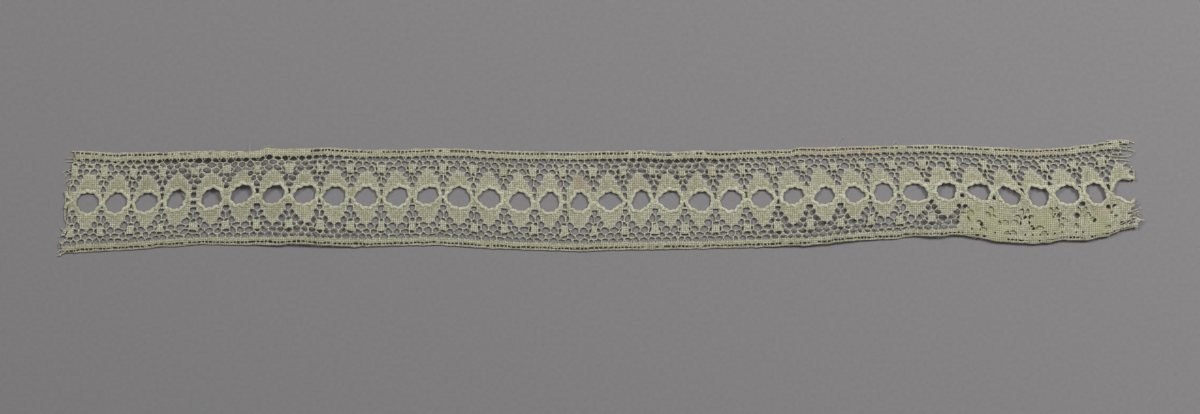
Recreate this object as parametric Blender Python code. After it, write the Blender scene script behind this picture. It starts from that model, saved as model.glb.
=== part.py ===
"""A worn length of bobbin lace with a row of ribbon holes, laid flat over a scrap of the same lace.

Metres, +Z up. The strip lies along X with its right side up, and the origin is the middle of its
footprint, on the surface that it lies on. The outlines below are in millimetres in that same frame
and are turned to metres where the meshes are made.
"""

import math

import bmesh
import bpy
from mathutils.geometry import delaunay_2d_cdt

MM = 0.001

# Driving dimensions, in millimetres
REPEAT = 10.07          # from one ribbon hole to the next
FIRST_HOLE = -168.1     # where the even run of repeats starts
SHEET = 1.0             # the openwork ground, plaits and all
RIM_WIDTH = 1.1         # the heavy gimp thread that rings each hole
RIM_RISE = 0.4
PETAL_RISE = 0.2        # cloth stitch, thicker than the ground round it
PETAL_SLOPE = 0.06      # how far in the full thickness starts, of the petal's size
BAND_WIDTH = 2.3        # footside, from the outer edge to the ground
BAND_CREST = 1.4
BAND_RISE = 0.25
TALLY_SIDE = 2.6        # the small woven squares between the petals
TALLY_SLOPE = 0.35
TALLY_RISE = 0.2
PATCH_THICKNESS = 1.0
LAYER_GAP = 0.3         # between the scrap and the strip that lies on it

POINTS_ROUND_HOLE = 16
MERGE = 1e-6

IVORY = (0.50, 0.49, 0.38)
YELLOWED = (0.47, 0.46, 0.34)

# What lies above (+1) and below (-1) the line of holes, measured from the middle of the holes
PETAL_TIPS = {1: 8.6, -1: 8.4}
TALLY_RISES = {1: 10.2, -1: 9.3}
SKEW_COLUMNS = {1: 1, -1: 2}

PETAL_SPREAD = 0.46     # a petal's half width, of the distance to the next hole
PETAL_EDGE = [
    # (share_across, share_up)
    (0.98, 0.45), (0.74, 0.68), (0.42, 0.86), (0.2, 1.0), (-0.2, 1.0), (-0.42, 0.86), (-0.74, 0.68),
    (-0.98, 0.45),
]

# Ribbon holes, left to right: how far each has strayed from the even run, how high its centre is,
# its size, its lean in degrees, and how far it is drawn to a point at its top (+) or bottom (-)
HOLES = [
    # (shift, rise, wide, high, lean, drawn)
    (-1.0, -1.3, 6.6, 6.3, 0, 0.0),
    (-1.7, -1.5, 6.8, 6.1, 0, 0.0),
    (-1.7, -1.5, 6.9, 5.9, 10, 0.0),
    (-2.0, -0.8, 6.9, 6.3, 28, 0.0),
    (-0.7, -0.3, 6.3, 6.1, 20, 0.0),
    (-0.7, 1.0, 7.8, 5.9, 26, 0.0),
    (-0.4, 1.0, 7.4, 5.8, 18, 0.0),
    (0.1, 0.8, 7.3, 5.6, 8, 0.0),
    (-0.3, 0.3, 6.9, 6.1, 5, 0.0),
    (0.1, 0.2, 7.3, 6.1, 0, 0.0),
    (0.2, 0.3, 7.3, 5.8, 8, 0.0),
    (0.4, 0.5, 6.9, 5.3, 16, 0.0),
    (0.5, 0.1, 7.3, 6.6, 0, 0.0),
    (0.5, -0.3, 7.1, 6.3, 0, 0.0),
    (0.5, -1.3, 6.8, 5.9, -4, 0.0),
    (0.3, -1.3, 6.4, 5.9, 0, 0.1),
    (0.1, -1.7, 6.1, 6.3, 8, 0.25),
    (-0.1, -1.3, 7.4, 5.6, 0, 0.0),
    (0.0, -0.8, 6.3, 6.6, 30, 0.0),
    (-0.3, -0.9, 6.9, 5.9, 0, 0.0),
    (-0.6, -1.1, 6.8, 5.9, 12, 0.0),
    (-0.3, -0.8, 6.8, 6.6, 10, 0.0),
    (-0.1, -0.4, 7.6, 5.9, 0, -0.25),
    (0.0, 0.4, 6.9, 5.4, 10, 0.0),
    (0.5, 0.7, 6.3, 5.8, 15, 0.0),
    (0.4, 1.1, 6.3, 5.3, -6, 0.0),
    (-0.3, 1.7, 6.4, 6.4, -8, 0.0),
    (-0.2, 2.0, 8.4, 5.8, -12, 0.0),
    (0.1, 2.0, 6.4, 5.4, -10, 0.0),
    (0.7, 1.9, 7.3, 5.3, -14, 0.0),
    (0.6, 0.8, 7.3, 5.4, -22, 0.0),
    (0.3, 0.7, 6.1, 6.3, -8, 0.0),
    (-0.2, 1.3, 7.1, 5.6, -6, 0.0),
    (-1.0, 1.6, 6.4, 6.6, -26, 0.0),
    (-1.5, 2.1, 7.9, 6.6, 0, 0.0),
]
TORN_HOLE = len(HOLES) - 1      # the last hole is torn open, so the end's outline runs round it
TORN_RIM = slice(5, 12)         # the points of its rim that are left

# The two long edges, left to right. The upper one steps up where the lace has been pulled
EDGES = [
    # (along, upper, lower)
    (-168.5, 15.4, -17.8),
    (-160.0, 14.9, -17.4),
    (-150.0, 15.1, -16.8),
    (-145.0, 15.3, -16.1),
    (-130.0, 15.5, -15.4),
    (-120.0, 15.4, -15.6),
    (-111.8, 15.5, -15.3),
    (-110.4, 16.8, -15.4),
    (-107.0, 16.2, -15.6),
    (-100.0, 16.2, -15.2),
    (-90.5, 16.7, -15.8),
    (-78.0, 16.0, -16.1),
    (-64.0, 16.0, -15.8),
    (-55.0, 16.4, -15.5),
    (-46.0, 16.3, -16.1),
    (-36.5, 15.7, -16.7),
    (-23.0, 15.4, -17.2),
    (-7.0, 15.3, -17.7),
    (3.0, 15.5, -17.3),
    (13.0, 15.7, -17.2),
    (22.0, 15.2, -17.0),
    (33.0, 15.7, -16.8),
    (38.0, 15.3, -16.6),
    (50.0, 15.8, -16.3),
    (61.0, 15.9, -15.9),
    (66.0, 16.8, -15.8),
    (74.0, 16.6, -15.3),
    (78.0, 16.8, -14.7),
    (86.0, 17.1, -13.9),
    (94.0, 17.3, -13.7),
    (99.0, 17.4, -13.5),
    (101.0, 17.5, -12.7),
    (110.0, 17.6, -12.7),
    (118.0, 17.3, -12.1),
    (124.0, 17.0, -13.0),
    (132.0, 16.7, -14.5),
    (142.0, 16.2, -15.0),
    (148.0, 16.4, -14.8),
    (152.5, 16.6, -13.9),
    (160.0, 17.6, -14.0),
    (166.5, 18.5, -12.7),
]

# The cut left end, top to bottom, with the ends of threads that have pulled out of it
LEFT_END = [
    # (along, up)
    (-174.4, 15.8), (-173.7, 13.5), (-174.7, 10.9), (-173.9, 9.2), (-177.2, 8.7), (-174.2, 7.8),
    (-175.1, 5.3), (-176.1, 2.3), (-176.4, -2.4), (-176.9, -7.3), (-177.7, -10.6), (-178.2, -13.2),
    (-179.0, -15.5), (-177.7, -17.2), (-179.4, -19.3), (-176.0, -18.4),
]

# The torn right end, bottom to top: frayed block, torn hole, torn petal, frayed footside
RIGHT_END = [
    # (along, up)
    (170.8, -11.2), (174.1, -9.6), (177.4, -9.9), (177.2, -8.6), (179.4, -7.6), (177.0, -6.6),
    (174.4, -6.1), (177.9, -5.8), (177.0, -3.3), (176.2, -0.2), (174.4, -2.0), (172.8, -1.3),
    (171.1, 0.0), (169.0, 1.3), (169.1, 3.3), (170.4, 5.1), (172.8, 5.6), (176.2, 6.1),
    (176.1, 8.9), (174.7, 11.6), (171.1, 11.6), (170.4, 13.0), (175.7, 14.7), (170.8, 15.2),
    (174.4, 16.5), (171.1, 17.3), (175.7, 18.8), (171.0, 19.3),
]

# The scrap underneath, anticlockwise from its upper left corner
PATCH = [
    # (along, up)
    (118.3, -2.8), (118.0, -7.0), (118.3, -11.1), (128.5, -12.3), (141.7, -13.4), (151.6, -12.9),
    (161.5, -12.4), (167.5, -11.1), (172.1, -8.9), (172.4, -4.0), (167.5, -3.0), (156.6, -2.8),
    (145.0, -3.5), (131.8, -3.1),
]

# How far the tallies lean from the middle of their gap: the ground is skewed more and more to the right
SKEWS = [
    # (along, upper, lower)
    (-175.0, 0.7, -0.7),
    (-90.0, 0.2, 0.0),
    (-20.0, -0.5, 0.0),
    (30.0, -1.1, 0.0),
    (70.0, -2.3, 0.3),
    (130.0, -3.2, 0.4),
    (180.0, -3.0, 0.4),
]

# Places where the lace has buckled off the surface
BUCKLES = [
    # (along, up, reach_along, reach_up, height)
    (-120.0, 11.0, 44.0, 20.0, 1.5),
    (-97.0, -13.0, 26.0, 13.0, 0.9),
    (22.0, 13.0, 34.0, 14.0, 0.9),
    (72.0, -9.0, 30.0, 16.0, 0.9),
    (174.0, 15.0, 16.0, 12.0, 0.7),
]

# The strip is held up where it lies over the scrap, and comes down again over DRAPE millimetres
RAISED_FROM = (112.0, -24.0)
RAISED_TO = (184.0, 2.5)
DRAPE = 10.0


def at_stations(rows, along, column):
    """Reads one column of a table of stations, on a straight line between the rows beside it."""
    for left, right in zip(rows, rows[1:]):
        if along <= right[0]:
            break
    share = min(max((along - left[0]) / (right[0] - left[0]), 0.0), 1.0)
    return left[column] + share * (right[column] - left[column])


def hole_centre(index):
    shift, rise = HOLES[index][:2]
    return FIRST_HOLE + index * REPEAT + shift, rise


def gap_before(index):
    """The distance from the hole before this one, middle to middle."""
    if index == 0:
        return REPEAT
    return hole_centre(index)[0] - hole_centre(index - 1)[0]


def lift(x, y):
    """How far the underside of the lace is off the surface."""
    height = 0.0
    for along, up, reach_along, reach_up, rise in BUCKLES:
        away = math.hypot((x - along) / reach_along, (y - up) / reach_up)
        if away < 1.0:
            height += rise * (0.5 + 0.5 * math.cos(math.pi * away))
    outside = math.hypot(
        max(RAISED_FROM[0] - x, 0.0, x - RAISED_TO[0]),
        max(RAISED_FROM[1] - y, 0.0, y - RAISED_TO[1]),
    )
    if outside < DRAPE:
        held = (PATCH_THICKNESS + LAYER_GAP) * (0.5 + 0.5 * math.cos(math.pi * outside / DRAPE))
        height = max(height, held)
    return height


def ring(index, margin):
    """The outline of a ribbon hole, let out by a margin."""
    centre_x, centre_y = hole_centre(index)
    wide, high, lean, drawn = HOLES[index][2:]
    turn = math.radians(lean)
    points = []
    for step in range(POINTS_ROUND_HOLE):
        angle = 2 * math.pi * step / POINTS_ROUND_HOLE
        across = (wide / 2 * (1 - drawn * math.sin(angle)) + margin) * math.cos(angle)
        up = (high / 2 + margin) * math.sin(angle)
        points.append((
            centre_x + across * math.cos(turn) - up * math.sin(turn),
            centre_y + across * math.sin(turn) + up * math.cos(turn),
        ))
    return points


def petal(index, side, scale):
    """The edge of the cloth-stitch petal above (+1) or below (-1) a hole, from rim to rim."""
    centre_x, centre_y = hole_centre(index)
    left = gap_before(index) * PETAL_SPREAD
    right = gap_before(index + 1) * PETAL_SPREAD
    skew = at_stations(SKEWS, centre_x, SKEW_COLUMNS[side]) / 2
    points = []
    for share_across, share_up in PETAL_EDGE:
        spread = right if share_across > 0 else left
        points.append((
            centre_x + scale * share_across * spread + share_up * skew,
            centre_y + scale * side * share_up * PETAL_TIPS[side],
        ))
    return points


def tally_centre(index, side):
    """The middle of the woven square in the gap after a hole."""
    here = hole_centre(index)
    after = hole_centre(index + 1)
    middle_x = (here[0] + after[0]) / 2
    middle_y = (here[1] + after[1]) / 2
    skew = at_stations(SKEWS, middle_x, SKEW_COLUMNS[side])
    return middle_x + skew, middle_y + side * TALLY_RISES[side]


def square(centre, width):
    half = width / 2
    corners = ((-half, -half), (half, -half), (half, half), (-half, half))
    return [(centre[0] + across, centre[1] + up) for across, up in corners]


class Drawing:
    """Lines and outlines on the plane, each with how far the cloth stands proud there."""

    def __init__(self):
        self.points = []
        self.rises = []
        self.lines = []
        self.outlines = []

    def add(self, points, rise=0.0, closed=False):
        first = len(self.points)
        self.points += points
        self.rises += [rise] * len(points)
        indices = list(range(first, len(self.points)))
        self.lines += list(zip(indices, indices[1:]))
        if closed:
            self.lines.append((indices[-1], first))
        return indices

    def add_outline(self, points):
        self.outlines.append(self.add(points, closed=True))

    def mesh(self, base):
        """Fills the first outline but not the ones inside it, and stands it on the lifted base."""
        everywhere = 0
        points, _, faces, sources, _, inside = delaunay_2d_cdt(
            self.points, self.lines, self.outlines, everywhere, MERGE, True)
        places = []
        for (x, y), source in zip(points, sources):
            rise = max((self.rises[i] for i in source), default=0.0)
            places.append((x * MM, y * MM, (base + rise + lift(x, y)) * MM))
        kept = [face for face, outlines in zip(faces, inside) if outlines == [0]]
        mesh = bpy.data.meshes.new("drawing")
        mesh.from_pydata(places, [], kept)
        return mesh


def strip_outline():
    """The whole edge of the strip, anticlockwise from the lower left."""
    lower = [(along, low) for along, _, low in EDGES]
    upper = [(along, high) for along, high, _ in reversed(EDGES)]
    return lower + RIGHT_END + upper + LEFT_END


def draw_outlines(drawing):
    drawing.add_outline(strip_outline())
    for index in range(TORN_HOLE):
        drawing.add_outline(ring(index, 0.0))


def draw_relief(drawing):
    """Everything that stands proud of the ground: rims, petals, tallies and the two footsides."""
    for index in range(TORN_HOLE):
        drawing.add(ring(index, RIM_WIDTH / 2), RIM_RISE, closed=True)
        drawing.add(ring(index, RIM_WIDTH), PETAL_RISE, closed=True)
        for side in (1, -1):
            drawing.add(petal(index, side, 1.0))
            drawing.add(petal(index, side, 1.0 - PETAL_SLOPE), PETAL_RISE)
    for index in range(TORN_HOLE - 1):
        for side in (1, -1):
            centre = tally_centre(index, side)
            drawing.add(square(centre, TALLY_SIDE), TALLY_RISE, closed=True)
            drawing.add(square(centre, TALLY_SIDE + 2 * TALLY_SLOPE), closed=True)
    drawing.add(ring(TORN_HOLE, RIM_WIDTH / 2)[TORN_RIM], RIM_RISE)
    for column, inwards in ((1, -1), (2, 1)):
        drawing.add([(row[0], row[column] + inwards * BAND_CREST) for row in EDGES], BAND_RISE)
        drawing.add([(row[0], row[column] + inwards * BAND_WIDTH) for row in EDGES])


def draw_ground(drawing):
    """A few points on the underside, so that it follows the buckles as closely as the top does."""
    for index in range(TORN_HOLE):
        centre_x, centre_y = hole_centre(index)
        for side in (1, -1):
            drawing.add([(centre_x, centre_y + side * PETAL_TIPS[side]), tally_centre(index, side)])


def make_strip():
    """The strip as one solid: the plain underside, walls up from its edges, and the relief on top."""
    underside = Drawing()
    draw_outlines(underside)
    draw_ground(underside)
    top = Drawing()
    draw_outlines(top)
    draw_relief(top)

    bm = bmesh.new()
    bm.from_mesh(underside.mesh(0.0))
    bmesh.ops.reverse_faces(bm, faces=bm.faces)
    borders = [edge for edge in bm.edges if edge.is_boundary]
    walls = bmesh.ops.extrude_edge_only(bm, edges=borders)["geom"]
    raised = [item for item in walls if isinstance(item, bmesh.types.BMVert)]
    bmesh.ops.translate(bm, verts=raised, vec=(0.0, 0.0, SHEET * MM))
    bm.from_mesh(top.mesh(SHEET))
    bmesh.ops.remove_doubles(bm, verts=bm.verts, dist=MERGE)
    bmesh.ops.triangulate(bm, faces=bm.faces)
    mesh = bpy.data.meshes.new("lace_strip")
    bm.to_mesh(mesh)
    bm.free()
    place("lace_strip", mesh, material("ecru cotton lace", IVORY))


def make_patch():
    """The scrap underneath, a plain flat piece cut from the same lace."""
    curve = bpy.data.curves.new("backing_patch", "CURVE")
    curve.dimensions = "2D"
    curve.fill_mode = "BOTH"
    curve.extrude = PATCH_THICKNESS / 2 * MM
    spline = curve.splines.new("POLY")
    spline.points.add(len(PATCH) - 1)
    spline.use_cyclic_u = True
    for point, (along, up) in zip(spline.points, PATCH):
        point.co = (along * MM, up * MM, 0.0, 1.0)
    patch = place("backing_patch", curve, material("yellowed ecru lace", YELLOWED))
    patch.location.z = PATCH_THICKNESS / 2 * MM


def material(name, colour):
    made = bpy.data.materials.new(name)
    made.use_nodes = True
    shader = made.node_tree.nodes["Principled BSDF"]
    shader.inputs["Base Color"].default_value = (*colour, 1.0)
    shader.inputs["Roughness"].default_value = 0.9
    shader.inputs["Metallic"].default_value = 0.0
    return made


def place(name, data, finish):
    data.materials.append(finish)
    obj = bpy.data.objects.new(name, data)
    collection.objects.link(obj)
    return obj


for old in list(bpy.data.objects):
    bpy.data.objects.remove(old)
collection = bpy.data.collections.new("lace_insertion")
bpy.context.scene.collection.children.link(collection)
make_patch()
make_strip()
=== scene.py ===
"""Dresses the lace insertion: the openwork in real thread, its rims, torn ends and the scrap below.

Written as an add-on: each operator makes one piece, or one group of like pieces, and the panel lists
them. Sizes here are in metres unless a name or a heading says millimetres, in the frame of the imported
model: +X along the strip, +Y across it, +Z up out of its right side.
"""

import math
import random

import bmesh
import bpy
from bpy.props import FloatProperty, FloatVectorProperty, PointerProperty
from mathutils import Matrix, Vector
from mathutils.bvhtree import BVHTree


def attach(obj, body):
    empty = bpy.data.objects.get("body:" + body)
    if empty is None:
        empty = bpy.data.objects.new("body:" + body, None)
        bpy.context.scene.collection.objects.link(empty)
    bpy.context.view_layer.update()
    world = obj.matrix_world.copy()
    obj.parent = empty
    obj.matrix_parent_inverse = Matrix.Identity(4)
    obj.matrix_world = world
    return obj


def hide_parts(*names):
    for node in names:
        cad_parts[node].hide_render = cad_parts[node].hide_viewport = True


bl_info = {
    "name": "Lace insertion with ribbon holes",
    "version": (1, 0, 0),
    "blender": (4, 5, 0),
    "location": "View3D > Sidebar > Lace",
    "description": "Builds a worn length of bobbin lace around its packed solids",
    "category": "Object",
}

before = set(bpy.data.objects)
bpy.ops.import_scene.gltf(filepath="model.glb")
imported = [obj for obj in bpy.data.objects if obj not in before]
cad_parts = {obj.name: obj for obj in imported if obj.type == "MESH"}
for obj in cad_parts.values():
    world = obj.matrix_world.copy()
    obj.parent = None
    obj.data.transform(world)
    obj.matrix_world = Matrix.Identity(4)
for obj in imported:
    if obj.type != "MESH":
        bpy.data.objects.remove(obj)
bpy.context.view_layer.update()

MM = 0.001
BODY = "root"

# The repeat, in half meshes: a mesh of the ground is two of them wide, and four meshes make a repeat
UNITS = 8
REPEAT = 10.07          # from hole to hole on average, in millimetres
FIRST_HOLE = -168.1     # where the first hole would be at that spacing, in millimetres

# Ribbon holes, left to right, in millimetres and degrees, as the solids have them
HOLES = [
    # (shift, rise, wide, high, lean, drawn)
    (-1.0, -1.3, 6.6, 6.3, 0, 0.0),
    (-1.7, -1.5, 6.8, 6.1, 0, 0.0),
    (-1.7, -1.5, 6.9, 5.9, 10, 0.0),
    (-2.0, -0.8, 6.9, 6.3, 28, 0.0),
    (-0.7, -0.3, 6.3, 6.1, 20, 0.0),
    (-0.7, 1.0, 7.8, 5.9, 26, 0.0),
    (-0.4, 1.0, 7.4, 5.8, 18, 0.0),
    (0.1, 0.8, 7.3, 5.6, 8, 0.0),
    (-0.3, 0.3, 6.9, 6.1, 5, 0.0),
    (0.1, 0.2, 7.3, 6.1, 0, 0.0),
    (0.2, 0.3, 7.3, 5.8, 8, 0.0),
    (0.4, 0.5, 6.9, 5.3, 16, 0.0),
    (0.5, 0.1, 7.3, 6.6, 0, 0.0),
    (0.5, -0.3, 7.1, 6.3, 0, 0.0),
    (0.5, -1.3, 6.8, 5.9, -4, 0.0),
    (0.3, -1.3, 6.4, 5.9, 0, 0.1),
    (0.1, -1.7, 6.1, 6.3, 8, 0.25),
    (-0.1, -1.3, 7.4, 5.6, 0, 0.0),
    (0.0, -0.8, 6.3, 6.6, 30, 0.0),
    (-0.3, -0.9, 6.9, 5.9, 0, 0.0),
    (-0.6, -1.1, 6.8, 5.9, 12, 0.0),
    (-0.3, -0.8, 6.8, 6.6, 10, 0.0),
    (-0.1, -0.4, 7.6, 5.9, 0, -0.25),
    (0.0, 0.4, 6.9, 5.4, 10, 0.0),
    (0.5, 0.7, 6.3, 5.8, 15, 0.0),
    (0.4, 1.1, 6.3, 5.3, -6, 0.0),
    (-0.3, 1.7, 6.4, 6.4, -8, 0.0),
    (-0.2, 2.0, 8.4, 5.8, -12, 0.0),
    (0.1, 2.0, 6.4, 5.4, -10, 0.0),
    (0.7, 1.9, 7.3, 5.3, -14, 0.0),
    (0.6, 0.8, 7.3, 5.4, -22, 0.0),
    (0.3, 0.7, 6.1, 6.3, -8, 0.0),
    (-0.2, 1.3, 7.1, 5.6, -6, 0.0),
    (-1.0, 1.6, 6.4, 6.6, -26, 0.0),
    (-1.4, 2.2, 8.2, 6.4, -24, 0.0),
]
TORN_HOLE = len(HOLES) - 1

# How far the rims of those holes are pulled out of round, in millimetres, at eight places each: from
# the right end of the hole, a turn of 45 degrees at a time, towards the upper edge first
PULLS = [
    (0.4, 0.2, -0.2, 0.1, 0.4, 0.5, 0.6, 0.2),
    (0.3, 0.4, 0.3, -0.3, 0.2, 0.5, 0.4, -0.3),
    (0.4, 0.4, 0.2, 0.0, 0.5, 0.5, -0.2, -0.4),
    (0.1, 0.5, -0.3, -0.5, 0.2, -0.3, -0.5, -1.0),
    (0.5, 0.7, 0.0, -0.2, 0.2, 0.2, -0.5, 0.3),
    (0.2, 0.3, -0.1, -0.3, -0.2, -0.1, -0.4, -0.4),
    (0.4, 0.5, -0.1, -0.4, -0.1, -0.1, -0.2, -0.2),
    (0.0, 0.9, 0.2, 0.1, 0.1, 0.0, -0.3, -0.2),
    (0.4, 0.6, 0.4, 0.1, 0.3, -0.3, 0.0, 0.0),
    (0.2, 0.2, 0.5, -0.2, 0.3, -0.3, 0.0, -0.1),
    (0.1, 0.6, 0.1, -0.4, 0.2, -0.3, 0.2, -0.2),
    (0.2, 0.6, 0.2, 0.3, 0.3, -0.2, -0.2, -0.2),
    (0.1, 0.1, 0.4, -0.1, 0.2, -0.2, -0.2, 0.4),
    (0.2, 0.1, 0.2, -0.2, 0.2, -0.5, 0.0, 0.0),
    (0.4, -0.1, 0.4, 0.0, 0.1, 0.0, 0.0, 0.3),
    (0.0, 0.2, 0.4, -0.3, 0.3, 0.3, 0.5, 0.0),
    (0.0, 0.4, 0.4, -0.3, 0.2, -0.7, -0.6, -0.5),
    (0.4, 0.3, 0.5, -0.1, 0.2, -0.6, 0.1, -0.6),
    (0.1, 0.3, -0.4, -0.8, 0.1, 0.1, -0.7, -0.2),
    (-0.1, 0.5, 0.4, 0.0, 0.4, -0.4, 0.2, 0.1),
    (0.4, 0.5, 0.1, 0.0, 0.3, -0.2, 0.4, 0.4),
    (0.5, 0.1, 0.2, -0.3, 0.2, 0.0, -0.1, -0.6),
    (0.0, -0.5, 0.3, -0.5, -0.1, 0.0, 0.1, -0.3),
    (0.3, 0.4, 0.3, 0.0, 0.0, -0.3, -0.2, -0.6),
    (0.0, 0.0, 0.1, -0.4, 0.7, 0.0, -0.2, -0.1),
    (0.3, -0.4, 0.0, 0.4, 0.2, 0.0, 0.1, -0.5),
    (0.1, 0.0, 0.1, 0.2, 0.0, 0.1, 0.0, -0.1),
    (0.5, -0.1, -0.1, -0.5, -0.5, 0.0, 0.0, 0.2),
    (-0.1, 0.7, 0.3, 0.1, 0.1, -0.3, -0.4, 0.2),
    (0.1, 0.6, 0.2, -0.1, 0.4, -0.7, -0.7, 0.4),
    (0.5, 0.1, -0.5, 0.4, 0.2, -0.6, -0.1, 0.5),
    (0.4, 0.3, -0.8, 0.7, 0.3, 0.0, 0.4, 0.7),
    (0.5, 0.0, 0.2, -0.1, 0.3, 0.3, 0.4, 0.6),
    (0.6, -0.2, -0.2, 0.2, 0.4, -0.8, -0.3, 0.4),
    (0.0, 0.0, 0.0, 0.0, 0.0, -0.4, -0.5, -0.3),
]

# The two long edges, in millimetres, left to right, with a row past each torn end
EDGES = [
    # (along, upper, lower)
    (-180.0, 16.2, -19.3),
    (-168.5, 15.4, -17.8),
    (-160.0, 14.9, -17.4),
    (-150.0, 15.1, -16.8),
    (-145.0, 15.3, -16.1),
    (-130.0, 15.5, -15.4),
    (-120.0, 15.4, -15.6),
    (-111.8, 15.5, -15.3),
    (-110.4, 16.8, -15.4),
    (-107.0, 16.2, -15.6),
    (-100.0, 16.2, -15.2),
    (-90.5, 16.7, -15.8),
    (-78.0, 16.0, -16.1),
    (-64.0, 16.0, -15.8),
    (-55.0, 16.4, -15.5),
    (-46.0, 16.3, -16.1),
    (-36.5, 15.7, -16.7),
    (-23.0, 15.4, -17.2),
    (-7.0, 15.3, -17.7),
    (3.0, 15.5, -17.3),
    (13.0, 15.7, -17.2),
    (22.0, 15.2, -17.0),
    (33.0, 15.7, -16.8),
    (38.0, 15.3, -16.6),
    (50.0, 15.8, -16.3),
    (61.0, 15.9, -15.9),
    (66.0, 16.8, -15.8),
    (74.0, 16.6, -15.3),
    (78.0, 16.8, -14.7),
    (86.0, 17.1, -13.9),
    (94.0, 17.3, -13.7),
    (99.0, 17.4, -13.5),
    (101.0, 17.5, -12.7),
    (110.0, 17.6, -12.7),
    (118.0, 17.3, -12.1),
    (124.0, 17.0, -13.0),
    (132.0, 16.7, -14.5),
    (142.0, 16.2, -15.0),
    (148.0, 16.4, -14.8),
    (152.5, 16.6, -13.9),
    (160.0, 17.6, -14.0),
    (166.5, 18.5, -12.7),
    (171.0, 19.2, -11.2),
    (180.0, 19.6, -9.6),
]

# How far the tallies lean from the middle of their gap, in millimetres
SKEWS = [
    # (along, upper, lower)
    (-175.0, 0.7, -0.7),
    (-90.0, 0.2, 0.0),
    (-20.0, -0.5, 0.0),
    (30.0, -1.1, 0.0),
    (70.0, -2.3, 0.3),
    (130.0, -3.2, 0.4),
    (180.0, -3.0, 0.4),
]
# How full the plaits are, as a share of their plain width
FULLNESS = [
    # (along, upper, lower)
    (-180.0, 2.6, 1.1),
    (-150.0, 2.1, 1.1),
    (-130.0, 1.35, 1.0),
    (-60.0, 1.25, 1.0),
    (60.0, 1.25, 1.0),
    (100.0, 1.4, 1.1),
    (180.0, 1.4, 1.1),
]
# How unevenly plaits and ladder bars are worked, as shares of their width picked at random
UNEVEN_PLAITS = (0.4, 0.8, 1.0, 1.7, 2.7)
UNEVEN_BARS = (0.7, 1.0, 1.9)
SKEW_SHARE = 0.62       # the tallies' share of the way from the holes to the edge
MOST_SKEW = 1.5         # how far the lean grows past the tallies, as a share of theirs
COLUMN = {1: 1, -1: 2}  # of the tables above, for the side above the holes (+1) and below them (-1)

# The lines between the rows, from the line of holes (0) to the outer edge (1). The first row is split
# at the rims' crossings, six rows are ground, then come the footside's band, its ladder and its cord
LINES = {
    1: (0.0, 0.19, 0.31, 0.425, 0.537, 0.643, 0.751, 0.868, 0.912, 0.972, 1.0),
    -1: (0.0, 0.16, 0.277, 0.4, 0.5225, 0.639, 0.746, 0.862, 0.914, 0.969, 1.0),
}
FIRST_MESH_LINE, TALLY_LINE, BAND_LINE, LADDER_LINE = 2, 4, 7, 8
GROUND_ROWS = range(1, BAND_LINE)
TALLY_ROW = 4
LADDER_ROW = 8
GAP = UNITS // 2        # the unit in the middle of the gap between two holes
HOLE_REACH = 3          # how many units to each side of its middle a ribbon hole takes
ZIGZAG = 3.5            # a row's depth divided by this is how far its line zigzags
# How far the lines round a tally are moved to keep it square, as shares like those of the lines
TALLY_SHIFTS = {TALLY_LINE - 1: 0.02, TALLY_LINE: -0.022, TALLY_LINE + 1: 0.028}

# How far each line's meshes are crowded into the gap by the petals, in half meshes
CROWDING = {2: 0.3, 3: 0.5, 4: 0.45, 5: 0.15}

# Widths of what is left round an opening, as shares of a full plait or bar
HALF_MESH_PLAIT = 0.75      # round a mesh that is only half as wide as the others
BAR_OVER_SCRAP = 2.0        # bars of the ladder that are matted on to the scrap
SPLIT_EDGE = 0.4            # round the gap where a plait parts

# How proud the stitches lie, as shares of the cloth's rise. The outer cord lies as far below the net
# as the footside's band lies above it
CLOTH, TALLY, FOOTSIDE, AT_RIM = 1.0, 1.7, 1.15, 0.6

# The chance of a mesh to be felted shut: over the scrap by row, elsewhere in the holes beside the
# crossings, in the ladder and in the stretch of ladder that is matted, and in the scrap itself
FELTED_OVER_SCRAP = {2: 0.35, 3: 0.25, 4: 0.45, LADDER_ROW: 0.35}
FELTED_OVER_SCRAP_ELSE = 0.8
FELTED_BESIDE_RIMS, FELTED_LADDER, FELTED_MATTED = 0.45, 0.07, 0.97
FELTED_SCRAP, FELTED_SCRAP_LADDER = 0.68, 0.4
MATTED = (-135.5, -96.0)    # along the upper footside, in millimetres, where its ladder is matted
CLEAR = (-138, -131)        # along, where the stray threads leave the holes beside the rims open
MISSING_BARS = 0.04         # the share of the ladder's bars that are missing
PARTED = 0.55               # the share of the plaits that part in two as they enter the footside
GAP_LENGTH = 0.7            # how far the gap between them runs on, as a share of its half width

# How far the ladder's uprights and its lines wander, as shares of the ground's wander
LADDER_WANDER, LADDER_LINE_WANDER = 0.9, 0.45
UNFOLDING_ROUNDS = 8    # at most, to ease apart meshes that have folded over their neighbours

# The rims, in millimetres: from the edge of a hole to the middle of its rim, from there to the first
# square stitches, and how far the rim is drawn in and out by the pairs that catch it
RIM_MARGIN, PAST_RIM, SCALLOP = 0.5, 0.35, 0.22
RIM_PINCH = 1.6         # how fast that margin narrows towards the crossings; 1 is a plain sine
SCALLOPS = 4.6          # to half a turn of a rim
RIM_STEPS = 34          # points to half a turn of a rim
# How far the crossing threads dip in the gap between two holes, the upper one and the lower one
OVER, UNDER = -0.07, -0.17
CROSSING_REACH = 0.12   # how near to the middle of the gap they cross, as a share of the repeat
RIM_FROM, RIM_SWEEP = 177, 174  # a half turn in degrees, short of the crossings at both ends
GIMP_START = (-4.9, 0.3)    # millimetres from the middle of the first hole to the crossing at the cut
# Widths of the gimp, as shares of its plain width: at that crossing, at the others, and how much it
# swells with each scallop
START_WIDTH, CROSSING_WIDTH, SWELL = 0.9, 0.7, 0.12

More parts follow.
